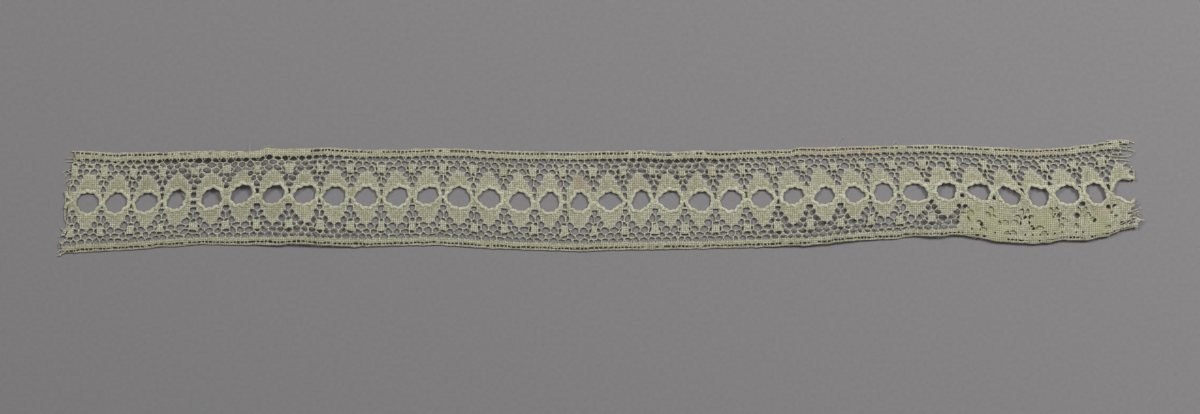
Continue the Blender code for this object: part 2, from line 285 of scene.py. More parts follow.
# Loose threads: the width of a single fibre and of a tip, as shares of a thread's, how many radii they
# lie above the net's underside, and the share of the strip's height that they keep past its edge
FIBRE_WIDTH, TIP_WIDTH, ON_LACE, DROOP = 0.45, 0.75, 1.6, 0.6
PAST_HOLES = 7          # units of net past the first and the last hole, before the tears are trimmed

# The stage, in metres and watts. The lamps stand beyond the strip and to both sides of it
LAMPS = [("left lamp", (-0.8, 0.8, 0.95), 8.2), ("right lamp", (0.8, 0.8, 0.95), 13.0)]
LAMP_SIZE, ROOM_LIGHT = 0.4, 0.17
FLOOR_REACH, CAMERA_HEIGHT = 1.5, 1.1
PHOTO_MIDDLE = (-0.17, -2.97)   # what the camera looks at, in millimetres
GRAIN = 1.4                     # of the floor's board, in millimetres

# Torn ends: past these places along, in millimetres, the net is trimmed to the solid's outline
TRIMMED_FROM = (-171.0, 164.0)

# The scrap below: its outer edge, left to right, and its line of holes, in millimetres
SCRAP_EDGE = [
    # (along, lower)
    (110.0, -10.9), (118.3, -11.1), (128.5, -12.3), (141.7, -13.4), (151.6, -12.9), (161.5, -12.4),
    (167.5, -11.1), (172.1, -8.9), (180.0, -7.0),
]
SCRAP_DEPTH = 16.1      # from its line of holes to its outer edge

# The soft thick thread at the torn right hole, and where it is cut off at the left
GIMP_ENDS_RIGHT = {
    1: [(168.8, 3.3), (169.1, 4.6), (170.4, 6.0), (172.1, 6.8), (174.4, 6.9), (176.2, 6.5)],
    -1: [(168.2, 1.6), (169.2, 0.3), (171.4, -0.1), (173.3, -1.4), (175.0, -1.7), (176.2, -0.2)],
}
GIMP_ENDS_LEFT = {1: [(-176.4, 2.2), (-175.9, 0.6)], -1: [(-176.5, -3.4), (-176.0, -1.9)]}

# Loose thread ends, in millimetres
THREAD_ENDS = [
    # Left end, from the top down
    [(-171.6, 12.7), (-174.7, 13.3), (-176.6, 13.0)],
    [(-171.4, 11.7), (-174.4, 12.2), (-176.3, 11.9)],
    [(-172.2, 9.2), (-174.6, 9.5), (-176.4, 9.1), (-177.5, 8.2)],
    [(-172.5, 8.3), (-174.6, 8.5), (-176.3, 7.8), (-176.9, 6.7)],
    [(-172.8, 6.2), (-174.5, 6.3), (-176.0, 5.8), (-177.1, 4.4)],
    [(-173.6, 8.6), (-175.2, 5.4), (-176.4, 1.2), (-176.8, -2.4), (-176.4, -6.0)],
    [(-174.6, 4.6), (-176.3, 0.4), (-177.0, -3.6), (-176.6, -7.2)],
    [(-173.9, 10.6), (-174.6, 5.9), (-175.2, 2.0), (-175.4, -2.3), (-175.7, -6.6), (-176.4, -11.2)],
    [(-174.6, 0.7), (-175.1, -2.6), (-174.9, -5.3), (-174.4, -7.9)],
    [(-174.9, -8.6), (-176.6, -10.0), (-177.8, -12.2)],
    [(-175.4, -12.8), (-177.0, -13.8), (-178.5, -15.4)],
    [(-174.6, -16.6), (-176.6, -17.6), (-178.2, -18.7), (-179.4, -19.2)],
    [(-175.4, -15.6), (-177.4, -16.4), (-178.9, -17.9)],
    # Stray threads in the fourth hole
    [(-137.9, 1.2), (-136.6, 0.2), (-136.9, -1.4), (-135.2, -2.8)],
    [(-136.9, 2.1), (-137.2, 0.2), (-135.8, -0.9), (-135.4, -2.6)],
    [(-138.4, -1.9), (-136.9, -1.2), (-135.9, 0.6)],
    # Right end, from the top down
    [(166.8, 18.9), (171.4, 19.2), (174.1, 19.0), (176.1, 18.1)],
    [(167.6, 17.6), (172.8, 16.9), (175.2, 17.0)],
    [(167.4, 16.3), (172.1, 16.1), (174.7, 15.9), (176.3, 15.2)],
    [(168.4, 14.0), (172.8, 13.4), (174.7, 13.8), (176.2, 15.1)],
    [(169.2, 12.6), (172.2, 12.8), (174.4, 12.3)],
    [(171.2, 10.3), (174.5, 9.8), (176.0, 8.7)],
    [(171.2, 9.1), (174.3, 8.9), (176.2, 9.3)],
    [(171.4, 7.9), (174.6, 7.7), (176.3, 8.1)],
    [(172.1, -3.4), (175.2, -2.9), (177.7, -1.6)],
    [(172.6, -4.5), (176.2, -4.3), (178.2, -3.1)],
    [(172.6, -5.6), (175.8, -5.2), (177.9, -5.9)],
    [(171.8, -6.3), (175.0, -6.1), (177.4, -6.9)],
    [(171.4, -8.6), (174.2, -7.2), (175.7, -6.2), (177.1, -6.5), (178.0, -7.2), (179.3, -7.3)],
    [(170.8, -9.4), (173.9, -8.4), (175.4, -7.4), (176.6, -7.2)],
    [(170.4, -10.2), (174.2, -9.1), (177.3, -9.6)],
    [(169.8, -10.8), (173.2, -10.1), (175.4, -9.7)],
]

# Single fibres that stand off the upper edge, in millimetres
WHISKERS = [
    [(77.0, 16.2), (77.9, 17.6), (79.4, 19.2), (80.4, 20.4)],
    [(96.0, 16.6), (96.6, 18.3), (97.8, 18.6), (98.2, 17.6), (97.2, 16.8)],
    [(-115.4, 15.0), (-115.8, 16.8), (-115.5, 18.4)],
    [(-112.4, 15.4), (-111.2, 16.9), (-109.6, 17.4), (-107.8, 17.0)],
]

# Stains, in millimetres
STAINS = [
    # (along, up, reach, strength, kind)
    (68.0, 14.8, 4.0, 0.4, "pink"),
    (74.0, 15.2, 4.5, 0.5, "pink"),
    (82.0, 15.6, 4.5, 0.5, "pink"),
    (90.0, 16.0, 4.0, 0.46, "pink"),
    (136.0, 15.8, 4.0, 0.4, "pink"),
    (143.0, 15.3, 4.0, 0.46, "pink"),
    (150.0, 15.6, 4.0, 0.36, "pink"),
    (87.0, 15.2, 1.6, 0.7, "brown"),
    (-6.0, 5.2, 4.5, 0.34, "pink"),
    (-7.0, 5.6, 3.4, 0.4, "brown"),
    (13.5, 5.2, 3.8, 0.28, "pink"),
    (-104.0, 15.6, 3.5, 0.25, "pink"),
    (-41.0, 14.6, 3.0, 0.22, "pink"),
    (-32.0, 9.6, 3.0, 0.3, "brown"),
    (-35.6, 6.4, 3.0, 0.19, "pink"),
    (37.0, 8.4, 4.0, 0.19, "pink"),
    (35.0, -16.2, 4.0, 0.22, "pink"),
    (166.0, -4.4, 4.0, 0.34, "pink"),
    (130.0, -9.0, 8.0, 0.6, "green"),
    (146.0, -8.0, 7.0, 0.6, "green"),
    (164.0, -8.6, 5.0, 0.7, "green"),
    (122.0, -5.0, 5.0, 0.5, "green"),
]


def linear(hex_colour):
    """An sRGB hex colour as linear RGB."""
    parts = [int(hex_colour[i:i + 2], 16) / 255 for i in (1, 3, 5)]
    return tuple(c / 12.92 if c <= 0.04045 else ((c + 0.055) / 1.055) ** 2.4 for c in parts)


class LaceSizes(bpy.types.PropertyGroup):
    """Real sizes of the lace's threads and layers."""

    sheet_bottom: FloatProperty(
        name="Sheet bottom", description="How high the net rides on its thick rims",
        default=0.29 * MM, unit="LENGTH")
    sheet_thickness: FloatProperty(
        name="Sheet thickness", description="Thickness of the net and the cloth stitch",
        default=0.28 * MM, unit="LENGTH")
    plait: FloatProperty(
        name="Plait", description="Half the width of the plaits between meshes",
        default=0.1 * MM, unit="LENGTH")
    scrap_plait: FloatProperty(
        name="Scrap plait", description="Half the width of the plaits of the matted scrap below",
        default=0.37 * MM, unit="LENGTH")
    ladder_bar: FloatProperty(
        name="Ladder bar", description="Half the width of the bars between the ladder's holes",
        default=0.105 * MM, unit="LENGTH")
    split: FloatProperty(
        name="Split", description="Half the width of the small gaps where plaits part at the footside",
        default=0.6 * MM, unit="LENGTH")
    rim_hole_edge: FloatProperty(
        name="Rim hole edge", description="Cloth left round the small holes beside the rims' crossings",
        default=0.64 * MM, unit="LENGTH")
    cloth_rise: FloatProperty(
        name="Cloth rise", description="How much higher the cloth stitch lies than the net",
        default=0.12 * MM, unit="LENGTH")
    gimp: FloatProperty(
        name="Gimp", description="Half the height of the soft thread round the ribbon holes",
        default=0.28 * MM, unit="LENGTH")
    gimp_spread: FloatProperty(
        name="Gimp spread", description="How much further that thread spreads to each side, pressed flat",
        default=0.28 * MM, unit="LENGTH")
    gimp_height: FloatProperty(
        name="Gimp height", description="Height of the middle of that thread over the underside",
        default=0.52 * MM, unit="LENGTH")
    loose_thread: FloatProperty(
        name="Loose thread", description="Radius of the thread ends at the tears",
        default=0.12 * MM, unit="LENGTH")
    scrap_bottom: FloatProperty(
        name="Scrap bottom", description="How high the net of the scrap rides on the floor",
        default=0.16 * MM, unit="LENGTH")
    scrap_thickness: FloatProperty(
        name="Scrap thickness", description="Thickness of the matted scrap",
        default=0.54 * MM, unit="LENGTH")
    settled: FloatProperty(
        name="Settled", description="How much lower the strip lies over the scrap than over its stand-in",
        default=0.65 * MM, unit="LENGTH")
    wander: FloatProperty(
        name="Wander", description="How far the hand-made meshes stray from even",
        default=0.26 * MM, unit="LENGTH")


class LaceColours(bpy.types.PropertyGroup):
    """Colours of the lace and of the stage."""

    ecru: FloatVectorProperty(
        name="Ecru", description="Most of the thread", subtype="COLOR", default=linear("#C9C7AA"))
    pale: FloatVectorProperty(
        name="Pale", description="Washed-out thread", subtype="COLOR", default=linear("#D8D7BF"))
    washed: FloatVectorProperty(
        name="Washed", description="The thin plaits, which have kept less of the yellow",
        subtype="COLOR", default=linear("#DCDAC5"))
    # The soil-and-shade colour is soiled thread in the spots, and painted shade over the left end
    soil_and_shade: FloatVectorProperty(
        name="Dull", description="Soiled thread", subtype="COLOR", default=linear("#A9A688"))
    pink: FloatVectorProperty(
        name="Pink", description="The faded pink stains", subtype="COLOR", default=linear("#C9AC9C"))
    brown: FloatVectorProperty(
        name="Brown", description="Rusty marks", subtype="COLOR", default=linear("#A38F6E"))
    green: FloatVectorProperty(
        name="Green", description="Mildewed thread", subtype="COLOR", default=linear("#C3C498"))
    bright: FloatVectorProperty(
        name="Bright", description="The soft thick thread and the densest stitches", subtype="COLOR",
        default=linear("#E2E1CC"))
    # The dust-and-shade colour is dust in the slubs of the thread and, over the weave, painted shade in
    # the grooves between its ribs
    dust_and_groove_shade: FloatVectorProperty(
        name="Shade", description="Dust between the threads", subtype="COLOR",
        default=linear("#8F8C6E"))
    floor: FloatVectorProperty(
        name="Floor", description="The plain pale floor", subtype="COLOR", default=linear("#929091"))


def ease(share):
    """A share from 0 to 1 that starts and ends gently."""
    return share * share * (3 - 2 * share)


def between(rows, along, column):
    """Reads one column of a table, eased between the rows beside it."""
    for left, right in zip(rows, rows[1:]):
        if along <= right[0]:
            break
    share = min(max((along - left[0]) / (right[0] - left[0]), 0.0), 1.0)
    return left[column] + ease(share) * (right[column] - left[column])


def hole_centre(index):
    """The middle of a ribbon hole, or of where one would be past the ends."""
    kept = min(max(index, 0), TORN_HOLE)
    shift, rise = HOLES[kept][:2]
    return FIRST_HOLE + index * REPEAT + shift, rise


def hole_line(unit):
    """The line through the middles of the holes, at a unit counted from the first one."""
    index = math.floor(unit / UNITS)
    share = unit / UNITS - index
    here, after = hole_centre(index), hole_centre(index + 1)
    return here[0] + share * (after[0] - here[0]), here[1] + ease(share) * (after[1] - here[1])


def pull(index, angle):
    """How far out of round a rim is at an angle, on a smooth curve through its eight places."""
    pulls = PULLS[index]
    place = angle / (2 * math.pi / len(pulls)) % len(pulls)
    low = int(place)
    share = place - low
    before, here, after, beyond = (pulls[(low + step) % len(pulls)] for step in (-1, 0, 1, 2))
    bend = 2 * before - 5 * here + 4 * after - beyond + share * (3 * (here - after) + beyond - before)
    return here + 0.5 * share * (after - before + share * bend)


def ring_point(index, bearing, margin):
    """The point on the outline of a ribbon hole that lies at a bearing, let out by a margin."""
    centre_x, centre_y = hole_centre(index)
    wide, high, lean, drawn = HOLES[index][2:]
    turn = math.radians(lean)
    angle = math.atan2(wide * math.sin(bearing - turn), high * math.cos(bearing - turn))
    margin += pull(index, angle)
    across = (wide / 2 * (1 - drawn * math.sin(angle)) + margin) * math.cos(angle)
    up = (high / 2 + margin) * math.sin(angle)
    return (centre_x + across * math.cos(turn) - up * math.sin(turn),
            centre_y + across * math.sin(turn) + up * math.cos(turn))


def place_of(side, unit, share):
    """Where a point of the lace lies, in millimetres, from its unit and its share of the way out."""
    x, y = hole_line(unit)
    x += between(SKEWS, x, COLUMN[side]) * min(share / SKEW_SHARE, MOST_SKEW)
    return x, y + share * (between(EDGES, x, COLUMN[side]) - y)


class Underside:
    """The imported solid's underside: how high it lies, and whether the solid covers a place."""

    def __init__(self, node):
        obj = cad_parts[node]
        bm = bmesh.new()
        bm.from_mesh(obj.data)
        self.tree = BVHTree.FromBMesh(bm)
        bm.free()

    def covers(self, x, y):
        return self.tree.ray_cast(Vector((x, y, -MM)), Vector((0, 0, 1)))[0] is not None

    def height(self, x, y):
        below = Vector((x, y, -MM))
        hit = self.tree.ray_cast(below, Vector((0, 0, 1)))[0]
        return (hit or self.tree.find_nearest(below)[0]).z


STRIP = Underside("lace_strip")
OVER_SCRAP = (106.0, 118.0)     # along, in millimetres, where the strip climbs on to the scrap
MOST_SETTLED = 0.62             # of its own height, when the strip lies low


def strip_base(x, y, sizes):
    """The height of the strip's underside. The real scrap is thinner than its solid, so it lies lower."""
    share = min(max((x / MM - OVER_SCRAP[0]) / (OVER_SCRAP[1] - OVER_SCRAP[0]), 0.0), 1.0)
    height = STRIP.height(x, y)
    return height - share * min(sizes.settled, MOST_SETTLED * height)


def is_wall(row, unit):
    """Whether an upright plait stands in this row at this unit."""
    if row == 0:
        return unit % UNITS != GAP
    if row not in GROUND_ROWS:
        return True
    if row == TALLY_ROW and abs(unit % UNITS - GAP) < 2:
        return unit % UNITS != GAP
    return unit % 2 == row % 2


def is_open(row, low, high):
    """Whether the face between two units of this row is a hole in the net.

    The petals narrow by a half mesh in each row, and a tally fills two half meshes of its row.
    """
    from_gap = abs((low + high) / 2 % UNITS - GAP)
    if row == LADDER_ROW:
        return True
    if row == 0:
        return from_gap < 1
    if row not in GROUND_ROWS:
        return False
    if row == TALLY_ROW:
        return from_gap > 0.9
    return from_gap <= row - 0.5 or row > TALLY_ROW


def edge_width(sizes, row, span, scrap, full, over_scrap):
    """How much cloth is left round an opening of this row."""
    if row == LADDER_ROW:
        return sizes.ladder_bar * (BAR_OVER_SCRAP if over_scrap else 1.0)
    if row == 0:
        return sizes.rim_hole_edge
    if scrap:
        return sizes.scrap_plait
    return full * sizes.plait * (HALF_MESH_PLAIT if span == 1 else 1.0)


def line_share(side, line, unit):
    """The share of a line at a unit, with the zigzag that makes the meshes six-sided."""
    lines = LINES[side]
    share = lines[line]
    if line < FIRST_MESH_LINE or line > BAND_LINE:
        return share
    zigzag = (lines[line] - lines[line - 1]) / ZIGZAG
    if is_wall(line - 1, unit) and line - 1 in GROUND_ROWS:
        share -= zigzag
    elif line < BAND_LINE:
        share += zigzag
    if line in TALLY_SHIFTS and abs(unit % UNITS - GAP) <= (1 if line >= TALLY_LINE else 0):
        share = lines[line] + TALLY_SHIFTS[line]
    return share


def crowded(line, unit):
    """The unit moved towards the gap by the petals."""
    offset = (unit + GAP) % UNITS - GAP
    return unit + CROWDING.get(line, 0.0) * math.sin(math.pi * offset / GAP)


def make_net(side, first, last, first_line, place, felted, sizes, seed):
    """One half of the lace, from the line of holes to its footside, as one openwork sheet.

    It starts as a plain grid of half meshes by rows. Walls are dissolved to leave six-sided meshes in
    staggered rows, the ribbon holes are cut and ringed, every mesh is inset by half a plait, and what
    is left inside it is deleted.
    """
    rows = len(LINES[side]) - 1
    wander, uneven = random.Random(seed), random.Random(seed + 50)
    bm = bmesh.new()
    unit_of = bm.verts.layers.int.new("unit")
    line_of = bm.verts.layers.int.new("line")
    cloth = bm.verts.layers.float.new("cloth")
    margin = bm.faces.layers.float.new("margin")
    bm.loops.layers.uv.new("weave")
    bmesh.ops.create_grid(bm, x_segments=last - first, y_segments=rows, size=0.5)
    for vert in bm.verts:
        vert[unit_of] = first + round((vert.co.x + 0.5) * (last - first))
        vert[line_of] = round((vert.co.y + 0.5) * rows)

    def ends(edge):
        low, high = edge.verts
        return low[unit_of], high[unit_of], low[line_of], high[line_of]

    spare = []
    for edge in bm.edges:
        left, right, low, high = ends(edge)
        if left == right and low != high and (
                not is_wall(min(low, high), left)
                or min(low, high) == LADDER_ROW and wander.random() < MISSING_BARS):
            spare.append(edge)
    bmesh.ops.dissolve_edges(bm, edges=spare, use_verts=False, use_face_split=False)

    def span(face):
        units = [vert[unit_of] for vert in face.verts]
        lines = [vert[line_of] for vert in face.verts]
        return min(lines), min(units), max(units)

    def middle_offset(low, high):
        return abs(((low + high) / 2 + GAP) % UNITS - GAP)

    in_holes = []
    for face in bm.faces:
        row, low, high = span(face)
        if row < first_line:
            in_holes.append(face)
        elif row < FIRST_MESH_LINE and middle_offset(low, high) < HOLE_REACH:
            in_holes.append(face)
    bmesh.ops.delete(bm, geom=in_holes, context="FACES")

    for face in bm.faces:
        row, low, high = span(face)
        if is_open(row, low, high) and not felted(row, low, high):
            x = place((low + high) / 2, LINES[side][row])[0]
            full = round(between(FULLNESS, x, COLUMN[side]), 1)
            matted = side == -1 and x > OVER_SCRAP[1]
            face[margin] = edge_width(sizes, row, high - low, first_line > 0, full, matted)
            if row in GROUND_ROWS:
                face[margin] *= uneven.choice(UNEVEN_PLAITS)
            elif row == LADDER_ROW:
                face[margin] *= uneven.choice(UNEVEN_BARS)
    closed_verts = {vert for vert in bm.verts if all(face[margin] == 0 for face in vert.link_faces)}

    along_jitter = {unit: wander.gauss(0, LADDER_WANDER) for unit in range(first, last + 1)}
    for vert in bm.verts:
        unit, line = vert[unit_of], vert[line_of]
        x, y = place(crowded(line, unit), line_share(side, line, unit))
        if FIRST_MESH_LINE <= line < BAND_LINE:
            x += wander.gauss(0, 1) * sizes.wander / MM
            y += wander.gauss(0, 1) * sizes.wander / MM
        elif line > BAND_LINE:
            x += along_jitter[unit] * sizes.wander / MM
            y += wander.gauss(0, LADDER_LINE_WANDER) * sizes.wander / MM
        vert.co = (x * MM, y * MM, 0.0)
        vert[cloth] = CLOTH if vert in closed_verts else 0.0
        if line in (TALLY_LINE, TALLY_LINE + 1) and abs(unit % UNITS - GAP) <= 1:
            vert[cloth] = TALLY
        if line >= BAND_LINE:
            vert[cloth] = FOOTSIDE if line <= LADDER_LINE else -FOOTSIDE

    if first_line == 0:
        ring_the_holes(bm, side, unit_of, line_of, cloth)
        for face in part_the_plaits(bm, side, unit_of, line_of, sizes, wander):
            face[margin] = SPLIT_EDGE * sizes.plait

    open_faces = [face for face in bm.faces if face[margin] > 0]
    widths = {face: face[margin] for face in open_faces}
    for width in sorted(set(widths.values())):
        faces = [face for face in open_faces if widths[face] == width]
        bmesh.ops.inset_individual(bm, faces=faces, thickness=width, use_even_offset=False)
    bmesh.ops.delete(bm, geom=open_faces, context="FACES")
    return bm


def part_the_plaits(bm, side, unit_of, line_of, sizes, chance):
    """Opens the small gap where each plait of the last row parts into two as it enters the footside."""
    feet = []
    for vert in bm.verts:
        at_foot = vert[line_of] == BAND_LINE and is_wall(BAND_LINE - 1, vert[unit_of])
        if at_foot and len(vert.link_edges) == 4 and chance.random() < PARTED:
            feet.append(vert)
    made = bmesh.ops.bevel(bm, geom=feet, offset=sizes.split, offset_type="OFFSET", affect="VERTICES",
                           segments=1, profile=0.5, material=-1)
    gaps = [face for face in made["faces"] if len(face.verts) == 4]
    for face in gaps:
        # Each gap is a diamond. Its outer point is drawn in, and its inner one out into the plait
        inner, left, right, outer = sorted(face.verts, key=lambda vert: side * vert.co.y)
        outer.co = (left.co + right.co) / 2
        inner.co.y -= side * GAP_LENGTH * sizes.split
    return gaps


def ring_the_holes(bm, side, unit_of, line_of, cloth):
    """Draws the square edge left round each ribbon hole in to the middle of its rim."""
    margin = bm.faces.layers.float["margin"]
    borders = {}
    for edge in bm.edges:
        units = [vert[unit_of] for vert in edge.verts]
        lines = [vert[line_of] for vert in edge.verts]
        if not edge.is_boundary or max(lines) > FIRST_MESH_LINE or max(lines) == 0:
            continue
        index = round(sum(units) / 2 / UNITS)
        if 0 <= index <= TORN_HOLE and abs(sum(units) / 2 - index * UNITS) <= HOLE_REACH:
            borders.setdefault(index, []).append(edge)
    for index, edges in borders.items():
        centre = Vector(hole_centre(index))
        for vert in {vert for edge in edges for vert in edge.verts}:
            away = Vector(vert.co.xy) / MM - centre
            angle = math.atan2(away.y, away.x)
            least = (Vector(ring_point(index, angle, RIM_MARGIN + PAST_RIM)) - centre).length
            if away.length < least:
                vert.co.xy = (centre + away.normalized() * least) * MM
        drawn = bmesh.ops.extrude_edge_only(bm, edges=edges)["geom"]
        for face in (item for item in drawn if isinstance(item, bmesh.types.BMFace)):
            face[margin] = 0.0
        for vert in (item for item in drawn if isinstance(item, bmesh.types.BMVert)):
            away = Vector(vert.co.xy) / MM - centre
            angle = math.atan2(away.y, away.x)
            x, y = ring_point(index, angle, RIM_MARGIN * min(RIM_PINCH * abs(math.sin(angle)), 1.0))
            vert.co.xy = (x * MM, y * MM)
            vert[cloth] = AT_RIM


def drop_loose_bits(bm):
    """Deletes what hangs on by a single point at the tears, and then what the tears have cut off."""
    while True:
        pinched = [vert for vert in bm.verts if sum(edge.is_boundary for edge in vert.link_edges) > 2]
        if not pinched:
            break
        hanging = {face for vert in pinched for face in vert.link_faces}
        bmesh.ops.delete(bm, geom=list(hanging), context="FACES")
    pieces = []
    left = set(bm.faces)
    while left:
        piece, growing = set(), [left.pop()]
        while growing:
            face = growing.pop()
            piece.add(face)
            beside = {other for edge in face.edges for other in edge.link_faces} & left
            left -= beside
            growing += beside
        pieces.append(piece)
    pieces.sort(key=len)
    bmesh.ops.delete(bm, geom=[face for piece in pieces[:-1] for face in piece], context="FACES")


def unfold(bm):
    """Turns all faces up together, then eases apart the few that wandering has folded over."""
    bmesh.ops.recalc_face_normals(bm, faces=bm.faces)
    if sum(face.normal.z * face.calc_area() for face in bm.faces) < 0:
        bmesh.ops.reverse_faces(bm, faces=bm.faces)
    bm.normal_update()
    for _ in range(UNFOLDING_ROUNDS):
        folded = {vert for face in bm.faces if face.normal.z < 0 for vert in face.verts}
        if not folded:
            break
        bmesh.ops.smooth_vert(bm, verts=[vert for vert in bm.verts if vert in folded], factor=0.5,
                              use_axis_x=True, use_axis_y=True)
        bm.normal_update()


def finish_net(name, bm, covered, base, thickness, rise):
    """Trims the net to the solid's outline, lays it at its height and gives it its thickness."""
    cloth = bm.verts.layers.float["cloth"]
    weave = bm.loops.layers.uv["weave"]
    loose = [face for face in bm.faces if not covered(face.calc_center_median())]
    bmesh.ops.delete(bm, geom=loose, context="FACES")
    drop_loose_bits(bm)
    unfold(bm)
    for face in bm.faces:
        for loop in face.loops:
            x, y = loop.vert.co.xy / MM
            unit = (x - FIRST_HOLE) / REPEAT * UNITS
            loop[weave].uv = (x, y - hole_line(unit)[1])
    for vert in bm.verts:
        vert.co.z = base(vert.co.x, vert.co.y) + vert[cloth] * rise
    mesh = bpy.data.meshes.new(name)
    bm.to_mesh(mesh)
    bm.free()
    mesh.shade_smooth()
    obj = bpy.data.objects.new(name, mesh)
    bpy.context.scene.collection.objects.link(obj)
    wall = obj.modifiers.new("thread thickness", "SOLIDIFY")
    wall.thickness = thickness
    wall.offset = 1.0
    round_off = obj.modifiers.new("round threads", "SUBSURF")
    round_off.levels = 1
    round_off.render_levels = 1
    return obj


def make_threads(name, routes, radius, smooth, spread=0.0):
    """Threads as one curve object. A route is a list of (point, share of the radius), in metres."""
    curve = bpy.data.curves.new(name, "CURVE")
    curve.dimensions = "3D"
    curve.bevel_depth = radius
    curve.bevel_resolution = 2
    curve.use_fill_caps = True
    curve.resolution_u = 5
    curve.extrude = spread
    curve.twist_mode = "Z_UP"
    for route in routes:
        spline = curve.splines.new("NURBS" if smooth else "POLY")
        spline.points.add(len(route) - 1)
        for point, (place, share) in zip(spline.points, route):
            point.co = (*place, 1.0)
            point.radius = share
            point.tilt = math.pi / 2
        if smooth:
            spline.order_u = 3
            spline.use_endpoint_u = True
        spline.use_smooth = True
    obj = bpy.data.objects.new(name, curve)
    bpy.context.scene.collection.objects.link(obj)
    return obj


# The Mix node's sockets for colours
FACTOR, FIRST_COLOUR, SECOND_COLOUR, MIXED_COLOUR = 0, 6, 7, 2

# Sizes of what shows in the cotton, in millimetres: patches from handling and old starch, soiled spots,
# mildew, broken edges of stains, slubs of the thread, and its hairs
PATCHES, SPOTS, MILDEW, BROKEN, SLUBS, HAIRS = 13, 4.5, 7, 1.6, 0.74, 0.28
SHADED_LEFT_END = (-20, -90)        # along, where the painted shade of the darker left end starts and is at its darkest, for the weaker light there
BLOT_CORE = 0.25            # the share of a stain's reach in which it is at its strongest
# Spacing of the cloth stitch's threads, across and along, in millimetres. The real ones lie about
# 0.4 mm apart, too fine for the render to show, so they are drawn coarser
WEAVE_PITCH = {"X": 0.62, "Y": 0.7}
WAVE_PERIOD = 0.314         # from band to band of a wave texture whose scale is 1


def add_node(tree, kind, settings, inputs):
    """Adds a node with its settings. An input is a value, a colour, or another node's output to link."""
    node = tree.nodes.new(kind)
    for name, value in settings.items():
        setattr(node, name, value)
    for key, value in inputs.items():
        socket = node.inputs[key]
        if isinstance(value, bpy.types.NodeSocket):
            tree.links.new(value, socket)
        else:
            socket.default_value = (*value, 1.0) if socket.type == "RGBA" else value
    return node


def tinted(tree, value, low, high, strength, colour, other):
    """Lays another colour over a colour: none of it where a value is low, its full strength where high."""
    share = add_node(tree, "ShaderNodeMapRange", {}, {
        "Value": value, "From Min": low, "From Max": high, "To Max": strength})
    return add_node(tree, "ShaderNodeMix", {"data_type": "RGBA"}, {
        FACTOR: share.outputs["Result"], FIRST_COLOUR: colour, SECOND_COLOUR: other,
    }).outputs[MIXED_COLOUR]


def patched(tree, where, size, detail, low, high, strength, colour, other):
    """Lays another colour over a colour in uneven patches of about a size, in millimetres."""
    blotches = add_node(tree, "ShaderNodeTexNoise", {}, {
        "Vector": where, "Scale": 1 / (size * MM), "Detail": detail})
    return tinted(tree, blotches.outputs["Fac"], low, high, strength, colour, other)


def stained(tree, where, colour, colours):
    """Lays the stains over a colour, each a soft-edged blot broken up by noise."""
    broken = add_node(tree, "ShaderNodeTexNoise", {}, {
        "Vector": where, "Scale": 1 / (BROKEN * MM), "Detail": 3.0})
    for along, up, reach, strength, kind in STAINS:
        away = add_node(tree, "ShaderNodeVectorMath", {"operation": "DISTANCE"}, {
            0: where, 1: (along * MM, up * MM, MM)})
        blot = add_node(tree, "ShaderNodeMapRange", {}, {
            "Value": away.outputs["Value"], "From Min": reach * MM,
            "From Max": BLOT_CORE * reach * MM, "To Max": 2 * strength})
        share = add_node(tree, "ShaderNodeMath", {"operation": "MULTIPLY"}, {
            0: blot.outputs["Result"], 1: broken.outputs["Fac"]})
        colour = add_node(tree, "ShaderNodeMix", {"data_type": "RGBA"}, {
            FACTOR: share.outputs["Value"], FIRST_COLOUR: colour,
            SECOND_COLOUR: getattr(colours, kind)}).outputs[MIXED_COLOUR]
    return colour


